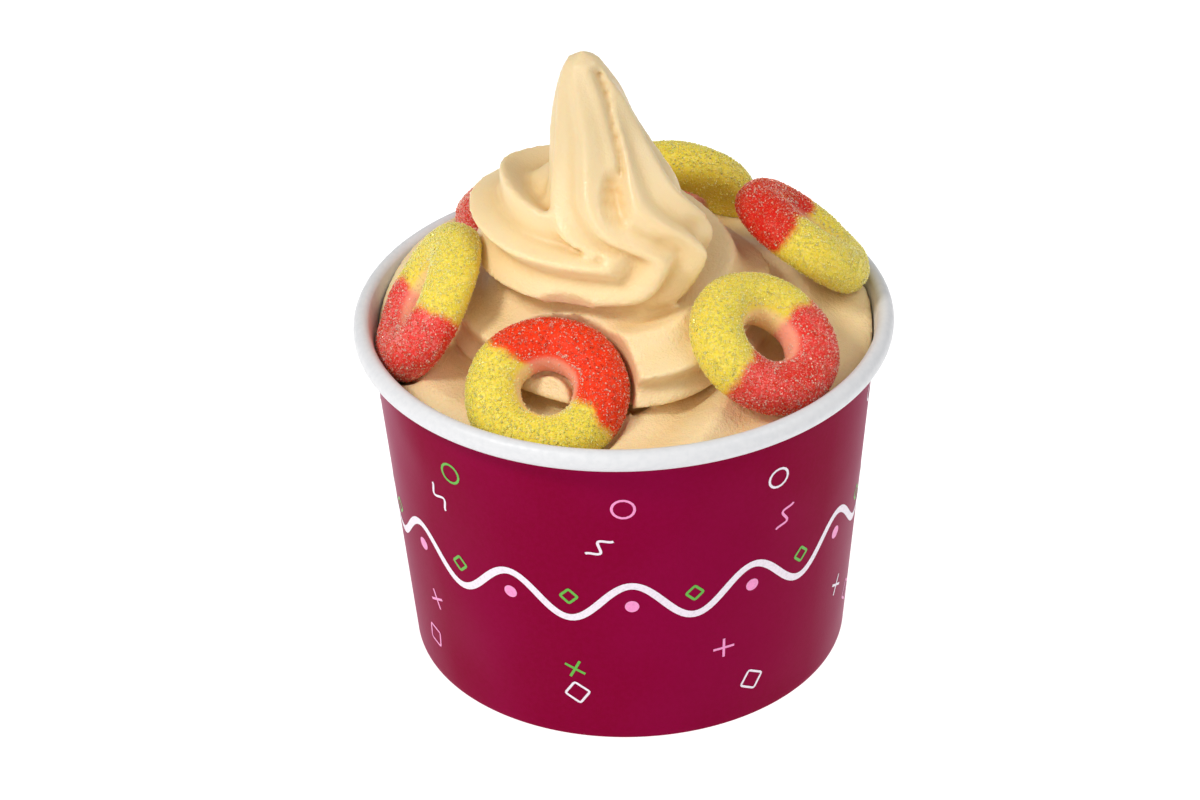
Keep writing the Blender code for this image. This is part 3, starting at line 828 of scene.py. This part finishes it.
def make_yogurt(material):
    """The yogurt: cup filling, core and wound rope fused, then pressed under the rings."""
    floor = BASE_RECESS + PAPER + GAP
    fill = turned_body([(wall_outside(floor) - PAPER - GAP, floor),
                        (wall_outside(FILL_TOP) - PAPER - GAP, FILL_TOP)], 128, (0.0, 0.0))
    core = turned_body(CORE, 64, CORE_CENTRE)
    rope_points, rope_faces = rope_surface()
    parts = [fill, core, (keep_inside_cup(rope_points), rope_faces)]
    starts = np.cumsum([0] + [len(points) for points, _ in parts[:-1]])
    yogurt = mesh_piece("yogurt_swirl", np.vstack([points for points, _ in parts]),
                        np.vstack([faces + start for start, (_, faces) in zip(starts, parts)]), [])
    merge_close_points(yogurt, 0.001)
    yogurt = fuse(yogurt)
    move_points(yogurt, tear_pit)
    move_points(yogurt, press_under_rings)
    move_points(yogurt, keep_inside_cup)
    yogurt = fuse(yogurt)
    soften(yogurt, 1)
    move_points(yogurt, keep_inside_cup)
    thin_below(yogurt, HIDDEN_BELOW, HIDDEN_SHARE)
    seat_rings(yogurt)
    merge_close_points(yogurt, 0.01)
    # How deep each point lies in a crease and in a hollow; the yogurt's material paints shade there
    point_attribute(yogurt, "crease", hollow_depth(yogurt, CREASE_ROUNDS))
    point_attribute(yogurt, "hollow", hollow_depth(yogurt, HOLLOW_ROUNDS))
    yogurt.data.materials.clear()
    yogurt.data.materials.append(material)
    yogurt.data.polygons.foreach_set("use_smooth", np.full(len(yogurt.data.polygons), True))
    yogurt.data.set_sharp_from_angle(angle=math.radians(75.0))
    return yogurt


# Materials

def add_node(tree, kind, inputs=None, **settings):
    """A shader node with its settings, its inputs filled with values or joined to sockets."""
    made = tree.nodes.new(kind)
    for name, value in settings.items():
        setattr(made, name, value)
    for name, value in (inputs or {}).items():
        if isinstance(value, bpy.types.NodeSocket):
            tree.links.new(value, made.inputs[name])
        else:
            made.inputs[name].default_value = value
    return made


def rise(tree, value, low, high, kind="LINEAR"):
    """A number that is 0 up to a low value and 1 from a high value on."""
    made = add_node(tree, "ShaderNodeMapRange", {"Value": value, "From Min": low, "From Max": high},
                    interpolation_type=kind)
    return made.outputs["Result"]


def maths(tree, operation, first, second):
    """Two numbers added, subtracted or multiplied."""
    return add_node(tree, "ShaderNodeMath", {0: first, 1: second}, operation=operation).outputs[0]


def scaled(tree, value, factor):
    """A number times a factor."""
    return maths(tree, "MULTIPLY", value, factor)


def between(tree, share, low, high):
    """A number from low to high by a share."""
    made = add_node(tree, "ShaderNodeMapRange", {"Value": share, "To Min": low, "To Max": high})
    return made.outputs["Result"]


def new_group(name, inputs, outputs):
    """A node group with named sockets; returns its tree and the inside of its inputs."""
    tree = bpy.data.node_groups.new(name, "ShaderNodeTree")
    for label, kind, value in inputs:
        socket = tree.interface.new_socket(label, in_out="INPUT", socket_type=kind)
        if value is not None:
            socket.default_value = value
    for label, kind in outputs:
        tree.interface.new_socket(label, in_out="OUTPUT", socket_type=kind)
    inside = tree.nodes.new("NodeGroupInput")
    outside = tree.nodes.new("NodeGroupOutput")
    return tree, inside.outputs, outside.inputs


def patches_group():
    """Soft-edged patches: noise between two levels stretched to run from 0 to 1."""
    tree, given, result = new_group(
        "patches",
        [("Place", "NodeSocketVector", None), ("Scale", "NodeSocketFloat", 100.0),
         ("Detail", "NodeSocketFloat", 3.0), ("Low", "NodeSocketFloat", 0.4),
         ("High", "NodeSocketFloat", 0.6)],
        [("Mask", "NodeSocketFloat")])
    noise = add_node(tree, "ShaderNodeTexNoise", {"Vector": given["Place"], "Scale": given["Scale"],
                                                  "Detail": given["Detail"]})
    mask = rise(tree, noise.outputs["Fac"], given["Low"], given["High"], "SMOOTHSTEP")
    tree.links.new(mask, result["Mask"])
    return tree


def grain_group():
    """Fine grain over slow waves, as one height: coarse noise and fine noise added."""
    tree, given, result = new_group(
        "grain",
        [("Place", "NodeSocketVector", None), ("Fine Scale", "NodeSocketFloat", 2500.0),
         ("Slow Scale", "NodeSocketFloat", 60.0), ("Fine Share", "NodeSocketFloat", 0.3)],
        [("Height", "NodeSocketFloat")])
    fine = add_node(tree, "ShaderNodeTexNoise", {"Vector": given["Place"], "Scale": given["Fine Scale"],
                                                 "Detail": 2.0})
    slow = add_node(tree, "ShaderNodeTexNoise", {"Vector": given["Place"], "Scale": given["Slow Scale"],
                                                 "Detail": 1.0})
    fine_part = maths(tree, "MULTIPLY", fine.outputs["Fac"], given["Fine Share"])
    tree.links.new(maths(tree, "ADD", slow.outputs["Fac"], fine_part), result["Height"])
    return tree


PATCHES = patches_group()
GRAIN = grain_group()


def new_material(name):
    """A material with a Principled BSDF; returns it, its tree, the shader and the place."""
    material = bpy.data.materials.new(name)
    material.use_nodes = True
    tree = material.node_tree
    place = add_node(tree, "ShaderNodeTexCoord").outputs["Object"]
    return material, tree, tree.nodes["Principled BSDF"], place


def use_group(tree, group, inputs):
    """Place a node group in a material."""
    made = add_node(tree, "ShaderNodeGroup", node_tree=group)
    for name, value in inputs.items():
        if isinstance(value, bpy.types.NodeSocket):
            tree.links.new(value, made.inputs[name])
        else:
            made.inputs[name].default_value = value
    return made


def patches(tree, place, scale, detail, low, high):
    """The mask of the patches group."""
    return use_group(tree, PATCHES, {"Place": place, "Scale": scale, "Detail": detail,
                                     "Low": low, "High": high}).outputs["Mask"]


def blend(tree, share, first, second):
    """A mix of two colours; each may be a value or a socket."""
    made = add_node(tree, "ShaderNodeMix", data_type="RGBA")
    for index, value in ((0, share), (6, first), (7, second)):
        if isinstance(value, bpy.types.NodeSocket):
            tree.links.new(value, made.inputs[index])
        elif index == 0:
            made.inputs[index].default_value = value
        else:
            made.inputs[index].default_value = (*value, 1.0)
    return made.outputs[2]


def bump(tree, shader, height, distance_mm, strength=1.0):
    """Feed a height to the shader's normal."""
    made = add_node(tree, "ShaderNodeBump", {"Height": height, "Distance": distance_mm * MM,
                                             "Strength": strength})
    tree.links.new(made.outputs["Normal"], shader.inputs["Normal"])


def attribute(tree, name):
    """A number stored on the piece's own points."""
    return add_node(tree, "ShaderNodeAttribute", attribute_name=name).outputs["Fac"]


def yogurt_material():
    """Peach-cream frozen yogurt: soft light under the skin, painted shade that deepens its colour in
    creases and hollows and darkens the drawn-up cone, icy grain low down, and a wetter, smoother skin
    with glints higher up."""
    material, tree, shader, place = new_material("frozen_yogurt_cream")
    slow = patches(tree, place, 45.0, 2.0, 0.35, 0.65)
    cream = blend(tree, slow, (0.885, 0.690, 0.385), (0.880, 0.665, 0.355))
    height = add_node(tree, "ShaderNodeSeparateXYZ", {"Vector": place}).outputs["Z"]
    high = rise(tree, height, 92.0 * MM, 106.0 * MM)
    # Painted shade: from 102 mm up the drawn-up cone is blended towards a darker cream
    drawn = rise(tree, height, 102.0 * MM, 124.0 * MM)
    cream = blend(tree, scaled(tree, drawn, 0.80), cream, (0.70, 0.555, 0.325))
    # Painted shade: the cream turns deeper orange in wide hollows and browner in sharp creases, where
    # shade and bounced light fall
    hollow = rise(tree, attribute(tree, "hollow"), -0.5, 3.0)
    crease = rise(tree, attribute(tree, "crease"), 0.02, 0.55)
    cream = blend(tree, scaled(tree, hollow, 0.70), cream, (0.87, 0.585, 0.235))
    cream = blend(tree, scaled(tree, crease, 0.75), cream, (0.66, 0.38, 0.115))
    tree.links.new(cream, shader.inputs["Base Color"])
    shader.inputs["Subsurface Weight"].default_value = 0.30
    shader.inputs["Subsurface Radius"].default_value = (1.0, 0.40, 0.14)
    shader.inputs["Subsurface Scale"].default_value = 2.2 * MM
    wet = patches(tree, place, 180.0, 2.0, 0.38, 0.74)
    wet = maths(tree, "MULTIPLY", wet, high)
    tree.links.new(between(tree, wet, 0.44, 0.29), shader.inputs["Roughness"])
    shader.inputs["Specular IOR Level"].default_value = 0.48
    icy = use_group(tree, GRAIN, {"Place": place, "Fine Scale": 2400.0, "Slow Scale": 900.0,
                                  "Fine Share": 1.0}).outputs["Height"]
    bump(tree, shader, scaled(tree, icy, between(tree, high, 1.0, 0.35)), 0.24, 0.8)
    return material


def crystals_group():
    """Packed sugar crystals: cells, each with a tone of its own, and their domes' height."""
    tree, given, result = new_group(
        "crystals",
        [("Place", "NodeSocketVector", None), ("Scale", "NodeSocketFloat", 3000.0)],
        [("Tone", "NodeSocketFloat"), ("Height", "NodeSocketFloat")])
    cells = add_node(tree, "ShaderNodeTexVoronoi", {"Vector": given["Place"], "Scale": given["Scale"]})
    parts = add_node(tree, "ShaderNodeSeparateColor", {"Color": cells.outputs["Color"]})
    tree.links.new(parts.outputs["Red"], result["Tone"])
    tilt = scaled(tree, parts.outputs["Green"], 0.6)
    tree.links.new(maths(tree, "SUBTRACT", tilt, cells.outputs["Distance"]), result["Height"])
    return tree


CRYSTALS = crystals_group()


def sugared(tree, share, white, red, pale_red):
    """Sugar's colour over gum: tinted by the gum under it, the whiter the grain the less."""
    red_grain = tuple(min(0.92, 1.03 * part + 0.006) for part in red)
    tinted = blend(tree, share, (0.90, 0.73, 0.105), red_grain)
    pale = blend(tree, share, (0.98, 0.86, 0.34), pale_red)
    return blend(tree, white, tinted, pale)


def gummy_material(name, red):
    """Soft gum jelly in two colours that run into each other, coated in packed fine sugar."""
    material, tree, shader, place = new_material("gummy_" + name)
    noise = add_node(tree, "ShaderNodeTexNoise", {"Vector": place, "Scale": 900.0, "Detail": 4.0})
    ragged = between(tree, noise.outputs["Fac"], -0.28, 0.28)
    share = maths(tree, "ADD", attribute(tree, "red_share"), ragged)
    share = rise(tree, share, 0.12, 0.88, "SMOOTHSTEP")
    crystals = use_group(tree, CRYSTALS, {"Place": place, "Scale": 2900.0})
    cloud = patches(tree, place, 160.0, 3.0, 0.36, 0.66)
    frost = maths(tree, "MULTIPLY", scaled(tree, share, FROST[name]), between(tree, cloud, 0.05, 2.3))
    tone = crystals.outputs["Tone"]
    bright = rise(tree, tone, 0.62, 0.95)
    snow = add_node(tree, "ShaderNodeMath", {0: frost, 1: scaled(tree, bright, 0.42)}, operation="ADD",
                    use_clamp=True)
    gum = blend(tree, share, YELLOW, red)
    frosted_red = (1.0, 0.11 + 0.8 * FROST[name], 0.012 + 1.1 * FROST[name])
    coat = sugared(tree, share, snow.outputs[0], red, frosted_red)
    bare = attribute(tree, "bare")
    covered = maths(tree, "SUBTRACT", 1.0, bare)
    amount = maths(tree, "MULTIPLY", between(tree, tone, 0.10, 0.75), covered)
    colour = blend(tree, amount, gum, coat)
    hole_wall = blend(tree, share, (0.95, 0.68, 0.34), (0.95, 0.44, 0.30))
    colour = blend(tree, scaled(tree, bare, 0.8), colour, hole_wall)
    tree.links.new(colour, shader.inputs["Base Color"])
    shader.inputs["Subsurface Weight"].default_value = 0.35
    shader.inputs["Subsurface Radius"].default_value = (1.0, 0.40, 0.12)
    shader.inputs["Subsurface Scale"].default_value = 1.6 * MM
    tree.links.new(between(tree, tone, 0.62, 0.30), shader.inputs["Roughness"])
    shader.inputs["Specular IOR Level"].default_value = 0.14
    bump(tree, shader, crystals.outputs["Height"], 0.13, 0.4)
    return material


def sugar_material(name, roughness):
    """Sugar grains: they take the colour of the gum under them and glint."""
    material, tree, shader, place = new_material(name)
    uneven = patches(tree, place, 700.0, 2.0, 0.35, 0.65)
    colour = sugared(tree, attribute(tree, "red_share"), attribute(tree, "white_share"),
                     (0.80, 0.030, 0.006), (1.0, 0.56, 0.42))
    tree.links.new(colour, shader.inputs["Base Color"])
    tree.links.new(blend(tree, 0.65, (1.0, 1.0, 1.0), colour), shader.inputs["Specular Tint"])
    shader.inputs["Subsurface Weight"].default_value = 0.8
    shader.inputs["Subsurface Radius"].default_value = (1.0, 0.8, 0.6)
    shader.inputs["Subsurface Scale"].default_value = 1.1 * MM
    tree.links.new(between(tree, uneven, roughness, roughness + 0.2), shader.inputs["Roughness"])
    return material


def printed_paper():
    """Magenta print on coated paper: faint mottling, paper grain, an uneven soft sheen that is partly
    painted as broad lighter patches, and a painted sheen that turns the colour paler where the wall
    turns away."""
    material, tree, shader, place = new_material("magenta_print")
    mottled = patches(tree, place, 900.0, 3.0, 0.35, 0.65)
    # Painted sheen: these broad patches make the ink lighter; they also lower the roughness
    broad_sheen = patches(tree, place, 22.0, 2.0, 0.40, 0.62)
    ink = blend(tree, scaled(tree, mottled, 0.6), (0.212, 0.0001, 0.027), (0.228, 0.0003, 0.035))
    ink = blend(tree, scaled(tree, broad_sheen, 0.30), ink, (0.262, 0.0015, 0.056))
    # Painted sheen: the ink turns a paler pink where the wall faces away from the view
    edge = add_node(tree, "ShaderNodeLayerWeight", {"Blend": 0.30}).outputs["Facing"]
    edge = rise(tree, edge, 0.42, 0.95)
    ink = blend(tree, scaled(tree, edge, 0.55), ink, (0.40, 0.115, 0.215))
    tree.links.new(ink, shader.inputs["Base Color"])
    tree.links.new(between(tree, broad_sheen, 0.46, 0.36), shader.inputs["Roughness"])
    shader.inputs["Specular IOR Level"].default_value = 0.02
    paper = use_group(tree, GRAIN, {"Place": place, "Fine Scale": 1900.0, "Slow Scale": 28.0,
                                    "Fine Share": 0.012})
    bump(tree, shader, paper.outputs["Height"], 2.2, 0.8)
    return material


def white_paper():
    """Uncoated white paper of the rolled rim, the lining and the base."""
    material, tree, shader, place = new_material("white_cup_paper")
    fibres = patches(tree, place, 700.0, 4.0, 0.35, 0.7)
    white = blend(tree, fibres, (0.700, 0.704, 0.718), (0.660, 0.668, 0.686))
    tree.links.new(white, shader.inputs["Base Color"])
    tree.links.new(between(tree, fibres, 0.38, 0.48), shader.inputs["Roughness"])
    paper = use_group(tree, GRAIN, {"Place": place, "Fine Scale": 1600.0, "Slow Scale": 70.0,
                                    "Fine Share": 0.05})
    bump(tree, shader, paper.outputs["Height"], 0.5, 0.6)
    return material


def ink_material(name, colour):
    """A printing ink, a little uneven where the paper's grain took less of it."""
    material, tree, shader, place = new_material(name)
    worn = patches(tree, place, 1600.0, 3.0, 0.40, 0.75)
    paler = tuple(0.86 * part for part in colour)
    tree.links.new(blend(tree, worn, colour, paler), shader.inputs["Base Color"])
    tree.links.new(between(tree, worn, 0.40, 0.52), shader.inputs["Roughness"])
    return material


# The studio

FLOOR_HALF = 3000.0
FLOOR_BELOW = 0.02        # how far the floor lies under the cup's foot


def make_stage():
    """A plain pale floor."""
    material, tree, shader, place = new_material("pale_floor")
    soft = patches(tree, place, 3.0, 1.0, 0.3, 0.7)
    pale = blend(tree, soft, (0.93, 0.93, 0.93), (0.92, 0.92, 0.92))
    tree.links.new(pale, shader.inputs["Base Color"])
    shader.inputs["Roughness"].default_value = 0.8
    shader.inputs["Specular IOR Level"].default_value = 0.1
    corners = np.array([[-1.0, -1.0], [1.0, -1.0], [1.0, 1.0], [-1.0, 1.0]]) * FLOOR_HALF
    points = np.column_stack([corners, np.full(4, -FLOOR_BELOW)])
    floor = mesh_piece("studio_floor", points, [[0, 1, 2, 3]], [material])
    return floor


def add_light(name, place, size, power, colour=(1.0, 1.0, 1.0)):
    """A square soft light aimed at the swirl. Place in metres."""
    lamp = bpy.data.lights.new(name, "AREA")
    lamp.size = size
    lamp.energy = power
    lamp.color = colour
    obj = bpy.data.objects.new(name, lamp)
    obj.location = place
    obj.rotation_euler = (Vector((0.0, 0.0, 0.08)) - Vector(place)).to_track_quat("-Z", "Y").to_euler()
    bpy.context.scene.collection.objects.link(obj)
    return obj


def only_for(lamp, pieces, name, shadows=True):
    """Let a light shine on some pieces alone; without shadows only they themselves block it."""
    group = bpy.data.collections.new(name)
    for piece in pieces:
        group.objects.link(piece)
    lamp.light_linking.receiver_collection = group
    if not shadows:
        lamp.light_linking.blocker_collection = group


def light_studio(floor):
    """A key light from the upper left of the camera, a wide fill from the right, a low one
    from the left, a white room, and a light of its own for the floor, which keeps it white."""
    others = [piece for piece in bpy.context.scene.objects if piece.type == "MESH" and piece != floor]
    only_for(add_light("key", (-0.54, -0.36, 0.82), 0.20, 4.8, (1.0, 0.985, 0.96)), others, "lit_by_key")
    only_for(add_light("fill", (0.85, -0.28, 1.10), 0.8, 4.8), others, "lit_by_fill")
    only_for(add_light("low_fill", (-0.42, -1.05, 0.62), 0.6, 3.0), others, "lit_by_low_fill")
    only_for(add_light("sweep", (0.0, 0.0, 2.5), 2.5, 85.0), [floor], "lit_by_sweep", shadows=False)
    world = bpy.data.worlds.new("white_room")
    world.use_nodes = True
    world.node_tree.nodes["Background"].inputs["Color"].default_value = (1.0, 1.0, 1.0, 1.0)
    world.node_tree.nodes["Background"].inputs["Strength"].default_value = 0.40
    bpy.context.scene.world = world
    bpy.context.scene.view_settings.view_transform = "Standard"
    bpy.context.scene.view_settings.look = "None"


def place_camera():
    """A long lens that looks 33 degrees down at the cup from the front."""
    right = Vector((0.99962, -0.01486, -0.02321))
    up = Vector((0.02756, 0.53907, 0.84181))
    backwards = right.cross(up)
    turn = Matrix((right, up, backwards)).transposed().to_4x4()
    turn.translation = Vector((-0.0054817, -0.749861, 0.535595))
    lens = bpy.data.cameras.new("camera")
    lens.sensor_width = 36.0
    lens.lens = 123.934
    lens.clip_start = 0.01
    camera = bpy.data.objects.new("camera", lens)
    camera.matrix_world = turn
    bpy.context.scene.collection.objects.link(camera)
    bpy.context.scene.camera = camera


def dress():
    """Make every piece, hide the parts of model.glb that it takes the place of, and say what it rides
    on.
    """
    magenta = printed_paper()
    white = white_paper()
    cup = make_cup(magenta, white)
    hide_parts("cup_wall")
    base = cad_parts["cup_base"]
    for slot in base.material_slots:
        slot.material = white
    pieces = [cup]
    inks = {
        "white_ink": ink_material("white_ink", (0.82, 0.74, 0.82)),
        "pink_ink": ink_material("pink_ink", (0.86, 0.27, 0.55)),
        "green_ink": ink_material("green_ink", (0.10, 0.42, 0.03)),
    }
    for piece in make_print(inks):
        pieces.append(piece)
    yogurt = make_yogurt(yogurt_material())
    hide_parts("frozen_yogurt")
    pieces.append(yogurt)
    for name in RINGS:
        gummy = make_gummy(name, gummy_material(name, RED_HALF[name][2]))
        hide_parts("ring_" + name)
        pieces.append(gummy)
    coarse = make_sugar("sugar_coarse", COARSE_GRAINS, COARSE_SIZE, 5, BLOCK, BLOCK_FACES,
                        sugar_material("sugar_coarse", 0.08))
    fine = make_sugar("sugar_fine", FINE_GRAINS, FINE_SIZE, 6, CHIP, CHIP_FACES,
                      sugar_material("sugar_fine", 0.16))
    for sugar in (coarse, fine):
        pieces.append(sugar)
    for piece in pieces:
        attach(piece, "root")


dress()
light_studio(make_stage())
place_camera()
